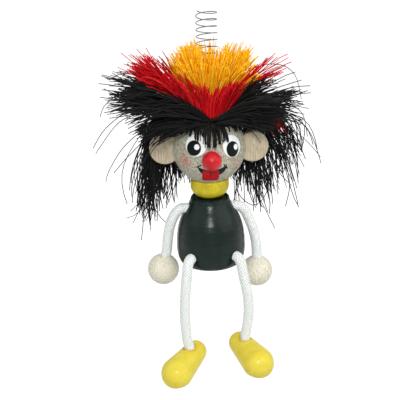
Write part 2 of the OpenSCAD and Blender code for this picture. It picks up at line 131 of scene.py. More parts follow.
coil_end_z = -WIRE_D / 2 - COIL_PITCH * (1 + COIL_TURNS)
loop_z = coil_end_z - FOOT_FALL
crown_floor_z = loop_z - LOOP_FALL - WIRE_D / 2 - LOOP_CLEARANCE
head_z = crown_floor_z + CROWN_DEPTH - math.sqrt(HEAD_R ** 2 - CROWN_R ** 2)
torso_z = head_z - HEAD_R - NECK_GAP
shoulder_z = torso_z - SHOULDER_DROP
hip_z = torso_z - HIP_DROP
HEAD = Vector((0, 0, head_z))
print("head %.2f, torso %.2f, shoulder %.2f, hip %.2f mm" % (head_z, torso_z, shoulder_z, hip_z))

# %% [markdown]
# ## Arm and leg cords
# The limbs are round braided cotton cord, nearly 5 mm thick: two sets of strands wind round it in
# opposite ways and pass over and under each other. A smooth tube with a picture of a braid looks
# flat at its edges, so the tube gets the braid as real relief: its wall rises where a strand lies
# on top and falls where strands cross. The rings follow a curve that is smooth through the route's
# points, and a carried frame keeps them from twisting.

# %% Curves through points
def smooth_point(points, i, t):
    """A point at a share t of the way from point i to the next, on a curve through all the points."""
    a = points[max(i - 1, 0)]
    b = points[i]
    c = points[i + 1]
    d = points[min(i + 2, len(points) - 1)]
    bend = 2 * a - 5 * b + 4 * c - d
    twist = 3 * b - a - 3 * c + d
    return 0.5 * (2 * b + (c - a) * t + bend * t * t + twist * t * t * t)


def line_length(line):
    return sum((b - a).length for a, b in zip(line, line[1:]))


def even_line(points, count):
    """Count + 1 points at equal distances along a smooth curve through the points."""
    parts = 12
    fine = [smooth_point(points, i, k / parts) for i in range(len(points) - 1) for k in range(parts)]
    fine.append(points[-1])
    total = line_length(fine)
    line = [fine[0]]
    gone = 0
    for a, b in zip(fine, fine[1:]):
        step = (b - a).length
        while len(line) < count and gone + step >= total * len(line) / count:
            line.append(a.lerp(b, (total * len(line) / count - gone) / step))
        gone += step
    return line + [fine[-1]]


def carried_frames(line, side):
    """A sideways and an upward direction at each point, carried along the line without twist."""
    frames = []
    for i, point in enumerate(line):
        way = (line[min(i + 1, len(line) - 1)] - line[max(i - 1, 0)]).normalized()
        side = (side - way * side.dot(way)).normalized()
        frames.append((side, way.cross(side)))
    return frames


# %% A mesh from rings of points
def link_mesh(name, vertices, faces):
    """A new object from points in millimetres."""
    mesh = bpy.data.meshes.new(name)
    mesh.from_pydata([tuple(v * MM) for v in vertices], [], faces)
    mesh.validate()
    piece = bpy.data.objects.new(name, mesh)
    bpy.context.collection.objects.link(piece)
    mesh.shade_smooth()
    return piece


def ring_faces(first, rings, sides):
    """Quads between rings of the same number of points, and a cap on both ends."""
    faces = [(first + i * sides + k, first + i * sides + (k + 1) % sides,
              first + (i + 1) * sides + (k + 1) % sides, first + (i + 1) * sides + k)
             for i in range(rings - 1) for k in range(sides)]
    last = first + (rings - 1) * sides
    faces.append(tuple(reversed(range(first, first + sides))))
    faces.append(tuple(range(last, last + sides)))
    return faces


def point_value(piece, name, values):
    """One number for each point of a mesh, for a material to read."""
    piece.data.attributes.new(name, "FLOAT", "POINT").data.foreach_set("value", values)


# %% Braided cord
STRANDS = 10
STRAND_LENGTH = 1.5
BRAID_DEPTH = 0.36
# As shares of that depth: a strand that passes under, the dip of one that is crossed,
# and the height that lies at the cord's radius
UNDER = 0.55
DIP = 0.45
BRAID_MEAN = 0.75
CORD_SIDES = 64
CORD_STEP = 0.24


def braid_height(turn, along):
    """Height of the braid, 0 to 1, at a share of a turn round the cord and a distance along it."""
    a = turn * STRANDS + along / STRAND_LENGTH
    b = turn * STRANDS - along / STRAND_LENGTH
    a_over = (math.floor(a) + math.floor(b)) % 2 == 0
    lie_a = abs(math.sin(math.pi * a))
    lie_b = abs(math.sin(math.pi * b))
    return max(lie_a * (1 if a_over else UNDER) * (1 - DIP + DIP * lie_b),
               lie_b * (UNDER if a_over else 1) * (1 - DIP + DIP * lie_a))


def cord_mesh(name, line, side):
    """A braided cord along a line, and the even line in its middle."""
    count = round(line_length(line) / CORD_STEP)
    centre = even_line(line, count)
    vertices, heights = [], []
    for i, (point, (u, v)) in enumerate(zip(centre, carried_frames(centre, side))):
        for k in range(CORD_SIDES):
            height = braid_height(k / CORD_SIDES, i * CORD_STEP)
            radius = CORD_D / 2 + BRAID_DEPTH * (height - BRAID_MEAN)
            angle = 2 * math.pi * k / CORD_SIDES
            vertices.append(point + radius * (math.cos(angle) * u + math.sin(angle) * v))
            heights.append(height)
    piece = link_mesh(name, vertices, ring_faces(0, count + 1, CORD_SIDES))
    point_value(piece, "braid", heights)
    print(name, "is %.1f mm long, %d faces" % (line_length(centre), len(piece.data.polygons)))
    return piece, centre


# %% Routes of the arms
# Millimetres outward and up from the mouth of the bore
SHOULDER_X = 12
HAND_HOLE = 7
ARM_ROUTES = {
    "left": [(1.8, 0), (3.3, -0.8), (5.5, -3.7), (7.6, -8.6), (9.2, -13.2), (10.2, -17.8),
             (10.7, -21.8), (10.9, -25.1), (10.9, -27.6)],
    "right": [(1.8, 0), (3.3, -0.7), (5.2, -2.7), (7.1, -6.3), (8.4, -10.5), (9.2, -14.8),
              (9.65, -18.9), (9.95, -21.4), (10.45, -23.9)]}
SIDES = {"left": 1, "right": -1}
# Outward tilt of each hand's hole and of each shoe's hole, in degrees
HAND_TILTS = {"left": 0, "right": 11.5}
SHOE_SLANTS = {"left": 0, "right": -13}


def hole_way(way, tilt):
    """The way in which a cord runs down into its hole."""
    return Vector((way * math.sin(math.radians(tilt)), 0, -math.cos(math.radians(tilt))))


def with_end(line, way, tilt, depth):
    """A route with its last stretch, which runs straight down into the hole."""
    return line + [line[-1] + hole_way(way, tilt) * depth * share for share in (0.5, 1)]


# The arm cord is one length through the torso. Each half is a piece, from the middle to its hand.
arm_nodes = {"left": ["arm_cord_left", "arm_cord_middle"], "right": ["arm_cord_right"]}
arm_cords = {}
for name, way in SIDES.items():
    route = [(-SHOULDER_X, 0), (-6, 0), (0, 0)] + ARM_ROUTES[name]
    line = [Vector((way * (SHOULDER_X + x), 0, shoulder_z + z)) for x, z in route]
    line = with_end(line, way, HAND_TILTS[name], HAND_HOLE)
    cord, centre = cord_mesh("arm_braid_" + name, line, Vector((0, 1, 0)))
    name + "_arm"
    shoulder_z * MM
    (shoulder_z - 4) * MM
    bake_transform(cord)
    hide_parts(*arm_nodes[name])
    shoulder_z * MM
    line_length(centre) * MM
    [tuple(p * MM) for p in even_line(line, 24)]
    arm_cords[name] = cord

# %% Routes of the legs
# Millimetres outward, back and up from the mouth of the hole
LEG_ROUTES = {
    "left": [(0, 0, 0), (1.3, -1.6, -0.6), (2.3, -3, -3), (3, -3.7, -7.5), (4.1, -4.1, -13.5),
             (5.25, -4.1, -20), (5.6, -4, -27), (5.2, -3.9, -33), (4.5, -3.7, -38), (4, -3.6, -41),
             (3.9, -3.6, -42.7)],
    "right": [(0, 0, 0), (1.3, -1.6, -0.6), (2.3, -3, -3), (2.9, -3.7, -7.5), (3.6, -4.1, -14),
              (4.2, -4.1, -21), (4.45, -4, -28.5), (4.1, -3.9, -36), (3.65, -3.7, -41.2),
              (3.2, -3.6, -43.8), (2.7, -3.6, -45.9)]}
HIP_R = 16.7
HIP_TURN = 40
HIP_INSIDE = 7.95
HIP_MIDDLE = 11.5
SHOE_HOLE = 5


def hip_point(way, radius):
    """A point on a leg hole's axis, at a distance from the torso's axis."""
    turn = math.radians(HIP_TURN)
    return Vector((way * radius * math.sin(turn), -radius * math.cos(turn), hip_z))


leg_cords = {}
ankles = {}
for name, way in SIDES.items():
    mouth = hip_point(way, HIP_R)
    line = [hip_point(way, HIP_INSIDE), hip_point(way, HIP_MIDDLE)]
    line += [mouth + Vector((way * x, y, z)) for x, y, z in LEG_ROUTES[name]]
    ankles[name] = line[-1]
    line = with_end(line, way, SHOE_SLANTS[name], SHOE_HOLE)
    cord, centre = cord_mesh("leg_braid_" + name, line, Vector((way, 1, 0)))
    name + "_leg"
    tuple((mouth + Vector((way * 3.3, -3.6, -9))) * MM)
    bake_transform(cord)
    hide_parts("leg_cord_" + name)
    tuple(mouth * MM)
    line_length(centre) * MM
    [tuple(p * MM) for p in even_line(line, 24)]
    leg_cords[name] = cord

# %% [markdown]
# ## Spring
# The spring is one thin steel wire. Blender's Screw modifier turns a small ring of points round an
# axis while it sinks, which is just how a coil is wound, so it needs only the wire's section and
# the pitch. The top turn is held, the next turns lean with the sway, and the rest stretches, so the
# wire is made in stretches that meet end to end. A real spring like this is never quite true: in the
# photograph its turns lean, the top ones one way and the lower ones the other. A small shear that
# changes with height gives that lean.

# %% Lean of the turns
# Height in millimetres, and the lean there in degrees
LEANS = [(0, 4.6), (-3.2, 3.4), (-6.3, 0.2), (-9.5, -3.1), (-12.7, -4.6), (-42, -5), (-52, 0), (-60, 0)]


def between(table, x):
    """Value at x in a table of falling x, on straight lines from row to row."""
    for (x0, y0), (x1, y1) in zip(table, table[1:]):
        if x >= x1:
            return y0 + (y1 - y0) * (min(x, x0) - x0) / (x1 - x0)
    return table[-1][1]


def lean(piece):
    for vertex in piece.data.vertices:
        vertex.co.z += vertex.co.y * math.tan(math.radians(between(LEANS, vertex.co.z / MM)))


# %% Coil by the Screw modifier
WIRE_SIDES = 12
STEPS_PER_TURN = 40


def keep_only(piece):
    """Selects one piece alone and makes it the active one."""
    bpy.ops.object.select_all(action="DESELECT")
    piece.select_set(True)
    bpy.context.view_layer.objects.active = piece


def wound_wire(name, first_turn, turns):
    """A stretch of the coil, from a turn on, closed at both ends."""
    angle = math.radians(COIL_START + 360 * first_turn)
    height = -WIRE_D / 2 - COIL_PITCH * first_turn
    bpy.ops.object.select_all(action="DESELECT")
    bpy.ops.mesh.primitive_circle_add(
        vertices=WIRE_SIDES, radius=WIRE_D / 2 * MM, fill_type="NOTHING",
        location=(COIL_D / 2 * math.cos(angle) * MM, COIL_D / 2 * math.sin(angle) * MM, height * MM),
        rotation=(math.pi / 2, 0, angle))
    piece = bpy.context.object
    piece.name = name
    bpy.ops.object.transform_apply(location=True, rotation=True, scale=True)
    winding = piece.modifiers.new("winding", "SCREW")
    winding.angle = 2 * math.pi * turns
    winding.screw_offset = -COIL_PITCH * turns * MM
    winding.steps = winding.render_steps = round(STEPS_PER_TURN * turns)
    bpy.ops.object.modifier_apply(modifier="winding")
    bpy.ops.object.mode_set(mode="EDIT")
    bpy.ops.mesh.select_mode(type="VERT")
    bpy.ops.mesh.select_all(action="DESELECT")
    bpy.ops.mesh.select_non_manifold()
    bpy.ops.mesh.edge_face_add()
    bpy.ops.mesh.select_all(action="SELECT")
    bpy.ops.mesh.normals_make_consistent(inside=False)
    bpy.ops.object.mode_set(mode="OBJECT")
    lean(piece)
    piece.data.shade_smooth()
    print(name, len(piece.data.polygons), "faces")
    return piece


top_wire = wound_wire("wire_top_turn", 0, 1)
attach(top_wire, "hanger")
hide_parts("spring_top_turn")

UPPER_TURNS = 2
upper_wire = wound_wire("wire_upper_turns", 1, UPPER_TURNS)
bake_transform(upper_wire)

coil_wire = wound_wire("wire_coil", 1 + UPPER_TURNS, COIL_TURNS - UPPER_TURNS)
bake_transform(coil_wire)
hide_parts("spring_coil")

# %% Foot of the spring, which runs in and winds round the screw
FOOT_STEPS = 32
# Share of the run-in after which the wire is level
LEVEL_FROM = 0.7


def foot_point(turn):
    angle = math.radians(COIL_START + 360 * (1 + COIL_TURNS + turn))
    t = min(1, turn / FOOT_RUN)
    radius = COIL_D / 2 + (LOOP_D - COIL_D) / 2 * t
    fall = FOOT_FALL * min(1, t / LEVEL_FROM) + LOOP_FALL * max(0, turn - FOOT_RUN)
    return Vector((radius * math.cos(angle), radius * math.sin(angle), coil_end_z - fall))


def tubes(name, lines, radii, sides):
    """Closed round tubes along lines, in one mesh. Radii holds each line's first and last radius."""
    vertices, faces = [], []
    for line, radius in zip(lines, radii):
        first = len(vertices)
        count = len(line) - 1
        side = (line[1] - line[0]).orthogonal()
        for i, (point, (u, v)) in enumerate(zip(line, carried_frames(line, side))):
            thick = radius[0] + (radius[1] - radius[0]) * i / count
            for k in range(sides):
                angle = 2 * math.pi * k / sides
                vertices.append(point + thick * (math.cos(angle) * u + math.sin(angle) * v))
        faces += ring_faces(first, count + 1, sides)
    return link_mesh(name, vertices, faces)


foot_line = [foot_point(i / FOOT_STEPS) for i in range(round(FOOT_STEPS * (FOOT_RUN + 1)) + 1)]
foot_wire = tubes("wire_foot", [foot_line], [(WIRE_D / 2, WIRE_D / 2)], WIRE_SIDES)
lean(foot_wire)
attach(foot_wire, "carrier")
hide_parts("spring_foot")

# %% [markdown]
# ## Yarn hair
# The mop is made of short lengths of yarn bound in rings round the spring: gold stands in the
# middle, red leans out of it, and black lies over the crown, the forehead, beside the face and down
# the back. The black of the crown is parted over the nose and combed to both sides, so red and gold
# show down to their roots in a V. A few thousand thin tubes are cheap if each has few sides, and
# they catch light and cover each other as yarn does. Strands come in clumps: each follows its own
# line from the root and is drawn to the clump's line towards the tip.

# %% Rings of yarn
RINGS = 4
RING_GAP = 0.1
RING_TOP = 4.9
SPRING_GAP = 0.6
ROOT_DEPTH = 0.6
YARN_IN_R = COIL_D / 2 + WIRE_D / 2 + SPRING_GAP
YARN_T = (CROWN_R - YARN_IN_R) / RINGS - RING_GAP
ring_r = [YARN_IN_R + YARN_T / 2 + n * (YARN_T + RING_GAP) for n in range(RINGS)]
# Each ring stands a millimetre higher than the next one out
ring_top = [crown_floor_z + RING_TOP + (RINGS - 1 - n) for n in range(RINGS)]
print("yarn rings at radii", [round(r, 2) for r in ring_r])


def way_to(turn, elevation):
    """A direction, as degrees to the figure's left of straight ahead and degrees up."""
    a = math.radians(turn)
    e = math.radians(elevation)
    return Vector((math.sin(a) * math.cos(e), -math.cos(a) * math.cos(e), math.sin(e)))


def walk(ring, turn, heading, slopes, steps):
    """A line from a ring's top, one straight step after another, each with its own slope in degrees.
    Turn is where it is rooted and heading is where it goes."""
    points = [way_to(turn, 0) * ring_r[ring] + Vector((0, 0, ring_top[ring] - ROOT_DEPTH))]
    for slope, step in zip(slopes, steps):
        points.append(points[-1] + way_to(heading, slope) * step)
    return points


def arc(ring, turn, heading, slope, tip_slope, length):
    """A line of four even steps whose slope changes evenly from its root to its tip."""
    slopes = [slope + (tip_slope - slope) * i / 3 for i in range(4)]
    return walk(ring, turn, heading, slopes, [length / 4] * 4)


# %% Strands that stray from a line
STRAND_R = 0.27
TIP_SHARE = 0.75
STRAND_SIDES = 4
SPRING_ROOM = 5.6
HEAD_ROOM = HEAD_R + 0.4


def clear_of_parts(p):
    """Moves a point out of the head ball and out of the spring's way."""
    out = p - HEAD
    if out.length < HEAD_ROOM:
        p = HEAD + out.normalized() * HEAD_ROOM
    flat = Vector((p.x, p.y, 0))
    if p.z > head_z and flat.length < SPRING_ROOM:
        p = p + flat.normalized() * (SPRING_ROOM - flat.length)
    return p


def stray(rng, line, drawn_to, pull, count, drift, curl):
    """A strand along a line. Towards its tip it is drawn to its clump, drifts off and curls."""
    span = line_length(line)
    way = Vector((rng.gauss(0, 1), rng.gauss(0, 1), rng.gauss(0, 0.8))) * drift * span
    wave = Vector((rng.gauss(0, 1), rng.gauss(0, 1), rng.gauss(0, 1))) * curl * span
    turns = rng.uniform(0.5, 1.2)
    phase = rng.uniform(0, 2 * math.pi)
    strand = []
    for i, (point, clump) in enumerate(zip(even_line(line, count), even_line(drawn_to, count))):
        t = i / count
        bend = math.sin(phase + 2 * math.pi * turns * t) - math.sin(phase)
        drawn = point.lerp(clump, min(1, pull * t))
        strand.append(clear_of_parts(drawn + way * t ** 1.5 + wave * bend * t))
    return strand


def clumps(seed, count, per_clump, line_for, drift, curl, spread, pull=0.5, steps=8, ragged=0.12):
    """Strands in clumps.

    Line_for gives a strand's line from the clump's number, its four random numbers, a turn away
    from its middle and a share of its length. Drift and curl are shares of the length, spread is
    in degrees, pull is how closely the tips gather, and ragged is how uneven they are.
    """
    rng = random.Random(seed)
    strands = []
    for i in range(count):
        mood = [rng.uniform(-1, 1) for _ in range(4)]
        middle = line_for(i, mood, 0, 1)
        for _ in range(per_clump(i) if callable(per_clump) else per_clump):
            share = max(0.35, min(1, rng.gauss(1 - 0.9 * ragged, ragged)))
            line = line_for(i, mood, rng.gauss(0, spread), share)
            strands.append(stray(rng, line, middle, pull * rng.random(), steps, drift, curl))
    return strands


def yarn(name, node, strands, seed):
    """One piece of yarn from its strands, with a random shade for each."""
    rng = random.Random(seed)
    piece = tubes(name, strands, [(STRAND_R, STRAND_R * TIP_SHARE)] * len(strands), STRAND_SIDES)
    shades = []
    for strand in strands:
        shades += [rng.random()] * (len(strand) * STRAND_SIDES)
    point_value(piece, "shade", shades)
    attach(piece, "figure")
    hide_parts(node)
    print(name, len(strands), "strands,", len(piece.data.polygons), "faces")


def ahead(turn):
    """1 for a turn straight ahead, 0 at the sides, -1 straight back."""
    return math.cos(math.radians(turn))


# %% Gold, which fans out in the middle
GOLD_CLUMPS = 84


def gold_line(i, mood, aside, share):
    turn = 360 * i / GOLD_CLUMPS + aside
    upright = mood[0]
    to_left = math.sin(math.radians(turn))
    low = 11 * max(0, to_left) ** 1.5 - 6 * max(0, -to_left)
    return arc(0, turn, turn + 10 * mood[1], 80 + 7 * upright - low, 64 + 20 * upright - low,
               share * (31.5 + 3 * upright + 2 * mood[3]))


def low_gold_line(i, mood, aside, share):
    """A few gold ends that lie out over the red, at the figure's right."""
    turn = -88 - 5 * i + aside
    return arc(0, turn, turn, 46 + 4 * mood[0], 18 + 8 * mood[1], share * (25 + 2 * mood[2]))


gold_strands = clumps(11, GOLD_CLUMPS, 13, gold_line, drift=0.035, curl=0.02, spread=5)
gold_strands += clumps(13, 3, 7, low_gold_line, drift=0.05, curl=0.02, spread=4)
yarn("yarn_gold", "hair_gold", gold_strands, 12)

# %% Red, short in front, a thick fan on the figure's right and a thin one on its left
RED_CLUMPS = 84


def red_turn(i):
    """Where a clump is rooted, from -180 to 180 degrees."""
    return (360 * i / RED_CLUMPS + 180) % 360 - 180


def red_line(i, mood, aside, share):
    turn = red_turn(i) + aside
    short = min(1, max(0, (ahead(turn) - (0.3 if turn > 0 else 0.5)) / 0.35))
    cleft = max(0, 1 - abs(turn) / 14)
    low = 26 * max(0, -ahead(turn)) ** 0.7
    full = (38 + 3 * mood[3]) * (1 - short) + (19 + 3 * mood[3] - 6 * cleft) * short
    return arc(1, turn, turn + 8 * mood[1], 60 + 16 * short - low + 6 * mood[2],
               36 + 24 * short + 18 * mood[0] * (1 - short) - low, share * full)


def red_count(i):
    """Strands in a clump, with few clumps where the fan is thin."""
    thin = 60 < red_turn(i) < 150
    return (8 if i % 3 == 0 else 0) if thin else 13


def low_red_line(i, mood, aside, share):
    """Red ends that fall behind the figure's left ear."""
    turn = 96 + 7 * i + aside
    return arc(1, turn, turn, 22 + 5 * mood[0], -66 + 8 * mood[1], share * (35 + 4 * mood[2]))


red_strands = clumps(23, RED_CLUMPS, red_count, red_line, drift=0.035, curl=0.02, spread=5)
red_strands += clumps(29, 3, 9, low_red_line, drift=0.06, curl=0.03, spread=4)
yarn("yarn_red", "hair_red", red_strands, 24)

# %% Black crown, parted in front and combed to both sides
CROWN_CLUMPS = 96
PARTING = 66


def crown_line(i, mood, aside, share):
    """Black combed outward from the parting, longer and higher on the figure's right."""
    turn = 360 * (i + 0.5) / CROWN_CLUMPS - 180 + aside
    side = 1 if i >= CROWN_CLUMPS / 2 else -1
    back = max(0, -ahead(turn))
    high = 0 if side > 0 else 9
    heading = side * (PARTING + abs(turn) * (180 - PARTING) / 180) + 9 * mood[1]
    reach = share ** 2.4 if side > 0 else share
    slope = 26 + high + 12 * mood[2] - 6 * back
    tip_slope = -4 + 19 * mood[0] - 22 * back
    return arc(2, turn, heading, slope, tip_slope, reach * ((37 if side > 0 else 41) + 4 * mood[3]))


def raised_line(i, mood, aside, share):
    """Black tufts that stand up beside the gold, more of them on the figure's left."""
    turn = (52 + 7 * i if i < 7 else -84 - 7 * (i - 7)) + aside
    return arc(2, turn, turn, 60 + 5 * mood[0], 34 + 12 * mood[1], share * (27 + 3 * mood[2]))


def crown_count(i):
    """Strands in a clump, fewer where the red shows through."""
    turn = 360 * (i + 0.5) / CROWN_CLUMPS - 180
    return 10 if 30 < turn < 140 else 15


def parting_line(i, mood, aside, share):
    """Short tufts that cover the roots where the parting ends."""
    turn = 4 * (i - 1.5) + aside
    return arc(2, turn, turn, 6 + 3 * mood[0], -38 + 6 * mood[1], share * (7 + mood[2]))


crown_strands = clumps(37, CROWN_CLUMPS, crown_count, crown_line,
                       drift=0.055, curl=0.035, spread=5, ragged=0.16)
crown_strands += clumps(39, 11, 12, raised_line, drift=0.05, curl=0.03, spread=4, ragged=0.16)
crown_strands += clumps(40, 4, 9, parting_line, drift=0.03, curl=0.02, spread=2)

# %% Single long strands that stand off from the crown
# Each is a line from its root in the ring of black yarn, in millimetres from the head ball's middle
LONG_STRANDS = [
    [(8, 2, 14), (14, 2, 29), (24, 2, 37.5), (35, 2, 38), (42, 2, 32.5), (45, 2, 21)],
    [(9, -3, 14), (22, -4, 22), (34, -4, 22), (44, -4, 16), (47, -4, 4)],
    [(9, -2, 13), (26, 0, 16), (38, 1, 8), (43, 2, -6), (44, 3, -19)],
    [(-9, -3, 14), (-24, -6, 23), (-38, -7, 21), (-49, -6, 13), (-55, -6, 4)],
    [(-9, -2, 14), (-26, -4, 19), (-41, -3, 16), (-52, -2, 3), (-54, -2, 0)],
    [(-8, 3, 14), (-22, 4, 26), (-37, 5, 29), (-48, 5, 22), (-51, 5, 16)],
    [(-8, 4, 14), (-24, 6, 30), (-38, 7, 36), (-46, 7, 33)],
    [(-9, 0, 13), (-28, -4, 12), (-40, -4, 4), (-48, -3, -8), (-50, -3, -14)],
    [(-9, -2, 13), (-26, -6, 10), (-38, -6, 0), (-46, -5, -9)],
    [(8, -8, 14), (15, -12, 13), (20, -10, 9), (24, -7, 3)],
    [(-8, -8, 14), (-17, -11, 11), (-24, -8, 6), (-29, -6, -1)],
    [(-9, -7, 14), (-19, -9, 11), (-27, -7, 4), (-32, -5, -5)],
    [(9, 5, 13), (20, 8, 4), (20, 7, -8), (22.5, 5, -23), (27, 4, -33), (32.5, 3, -45)],
    [(9, 1, 13), (27, 3, 9), (36, 4, -5), (40, 4, -22), (38, 4, -34)]]
LONG_STRAND_STEPS = 20
LOOP_STRAND_STEPS = 30


def single_strand(points, steps):
    return even_line([HEAD + Vector(p) for p in points], steps)


crown_strands += [single_strand(points, LONG_STRAND_STEPS) for points in LONG_STRANDS]
yarn("yarn_crown", "hair_crown", crown_strands, 38)

# %% Forehead: short locks that hang in points, and longer ones combed to both sides over the parting
def fringe_line(i, mood, aside, share):
    """Locks over the eyes, longest over the nose and short where the forehead is bare."""
    turn = 5.2 * (i - 11.4) + aside
    point = max(0, 1 - abs(turn - 2) / 36)
    bare = 2.5 if 24 < turn < 52 else 0
    length = share * (5.6 - bare + 2.9 * mood[2] + 7.2 * point)
    return arc(3, turn, turn + 12 * mood[1], 2, -78 + 6 * mood[0], length)


def combed_line(i, mood, aside, share):
    """Locks combed to both sides, higher on the figure's left."""
    turn = 3.4 * (i - 15.5) + aside
    side = 1 if i > 15 else -1
    high = 5 if side > 0 else 0
    slope = 17 + high + 9 * mood[2]
    tip_slope = -20 + 2 * high + 12 * mood[0]
    return arc(3, turn, side * (76 + 12 * mood[1]), slope, tip_slope, share * (25 + 7 * mood[3]))


fringe_strands = clumps(41, 26, 12, fringe_line, drift=0.02, curl=0.02, spread=2.6, pull=2.6)
fringe_strands += clumps(43, 32, 14, combed_line, drift=0.05, curl=0.03, spread=3)
yarn("yarn_fringe", "hair_fringe", fringe_strands, 42)

# %% Side locks and back
def hanging(turn, heading, slopes, length):
    """A lock that clears the ball in four steps of 5 mm and then falls in two long ones."""
    return walk(3, turn, heading, slopes, [5] * 4 + [(length - 4 * 5) / 2] * 2)


def right_lock(i, mood, aside, share):
    turn = -(100 + 2.8 * (i % 16) + aside)
    out = 6 + 12 * mood[0]
    slopes = [out, out - 16, out - 42, -66 + 10 * mood[1], -82 + 7 * mood[2], -86 + 6 * mood[2]]
    return hanging(turn, turn, slopes, 22 + 46 * share * (0.78 + 0.22 * mood[3]))


def left_lock(i, mood, aside, share):
    """Loose locks, some of which stand off before they fall."""
    turn = 96 + 3 * (i % 16) + aside
    out = 12 + 14 * mood[0]
    fall = 22 * max(0, mood[1])
    slopes = [out, out - 10, out - 26 + fall,
              -44 + 14 * mood[1] + fall, -62 + 12 * mood[2] + fall, -74 + 8 * mood[2]]
    return hanging(turn, turn, slopes, 22 + 44 * share * (0.72 + 0.28 * mood[3]))


def inner_lock(i, mood, aside, share):
    """Locks that fall close behind the figure's left ear."""
    turn = 104 + 3.4 * (i % 14) + aside
    out = 2 + 8 * mood[0]
    slopes = [out, out - 27, out - 56, -76 + 6 * mood[1], -82 + 9 * mood[2], -84 + 9 * mood[2]]
    return hanging(turn, turn, slopes, 22 + 42 * share * (0.75 + 0.25 * mood[3]))


right_strands = clumps(52, 40, 5, right_lock, drift=0.05, curl=0.05, spread=5,
                       pull=0.35, steps=12, ragged=0.2)
yarn("yarn_side_right", "hair_side_right", right_strands, 53)
left_strands = clumps(54, 48, 4, left_lock, drift=0.07, curl=0.06, spread=6,
                      pull=0.25, steps=12, ragged=0.16)
left_strands += clumps(56, 28, 5, inner_lock, drift=0.05, curl=0.05, spread=4,
                       pull=0.3, steps=12, ragged=0.16)
# One strand that falls behind the ear and turns up again in a loop
LOOP_STRAND = [(8, 6, 14), (17, 9, 8), (20, 9, -5), (17, 7, -15), (13.5, 5, -22.3), (15.1, 4, -26.7),
               (17.1, 3, -29.1), (20.1, 3, -31.5), (22.9, 3, -32.1), (26.1, 3, -29.6), (28.6, 3, -25),
               (29.6, 3, -19.9), (29.9, 3, -15.2)]
left_strands.append(single_strand(LOOP_STRAND, LOOP_STRAND_STEPS))
yarn("yarn_side_left", "hair_side_left", left_strands, 55)


def back_line(i, mood, aside, share):
    turn = 180 + 5.5 * (i % 11 - 5) + aside
    out = 8 + 12 * mood[0]
    slopes = [out, out - 14, out - 40, -62 + 8 * mood[1], -80, -87]
    return hanging(turn, turn, slopes, 24 + 25 * (0.5 + 0.5 * share))


back_strands = clumps(67, 33, 14, back_line, drift=0.04, curl=0.03, spread=3, pull=0.4, steps=10)
yarn("yarn_back", "hair_back", back_strands, 68)

# %% [markdown]
# ## Shoes
# Each shoe is a turned egg of wood, thin at the heel and full at the toe, with a flat sole. Two
# balls of different size and the tight skin round both give that form. A voxel remesh then turns
# the long skin triangles into small even faces, which take a smooth shade, and two Boolean cuts
# make the hole for the cord and its rim.

# %% Shoe
SHOE_LEN = 30.8
SHOE_W = 15.6
HEEL_W = 11.4
TOE_H = 11.8
HEEL_H = 8.8
TOE_MID = 0.32
ANKLE_X = 9.4
SHOE_VOXEL = 0.28
# Turn outward and tip of the toe, in degrees
SHOE_TURNS = {"left": (24, 14), "right": (38, 16)}
# Cutters: radius at the lower and the upper end, and how far these lie above the ankle
SHOE_CUTS = {"hole": (2.6, 2.6, -SHOE_HOLE - 0.05, 15), "rim": (2.6, 4.6, -0.6, 1.4)}


def ball(at, diameter, height_scale):
    """A ball, or a ball made flatter or taller, with its middle at a point in millimetres."""
    bpy.ops.object.select_all(action="DESELECT")
    bpy.ops.mesh.primitive_uv_sphere_add(segments=64, ring_count=32, radius=diameter / 2 * MM,
                                         location=tuple(Vector(at) * MM), scale=(1, 1, height_scale))
    return bpy.context.object


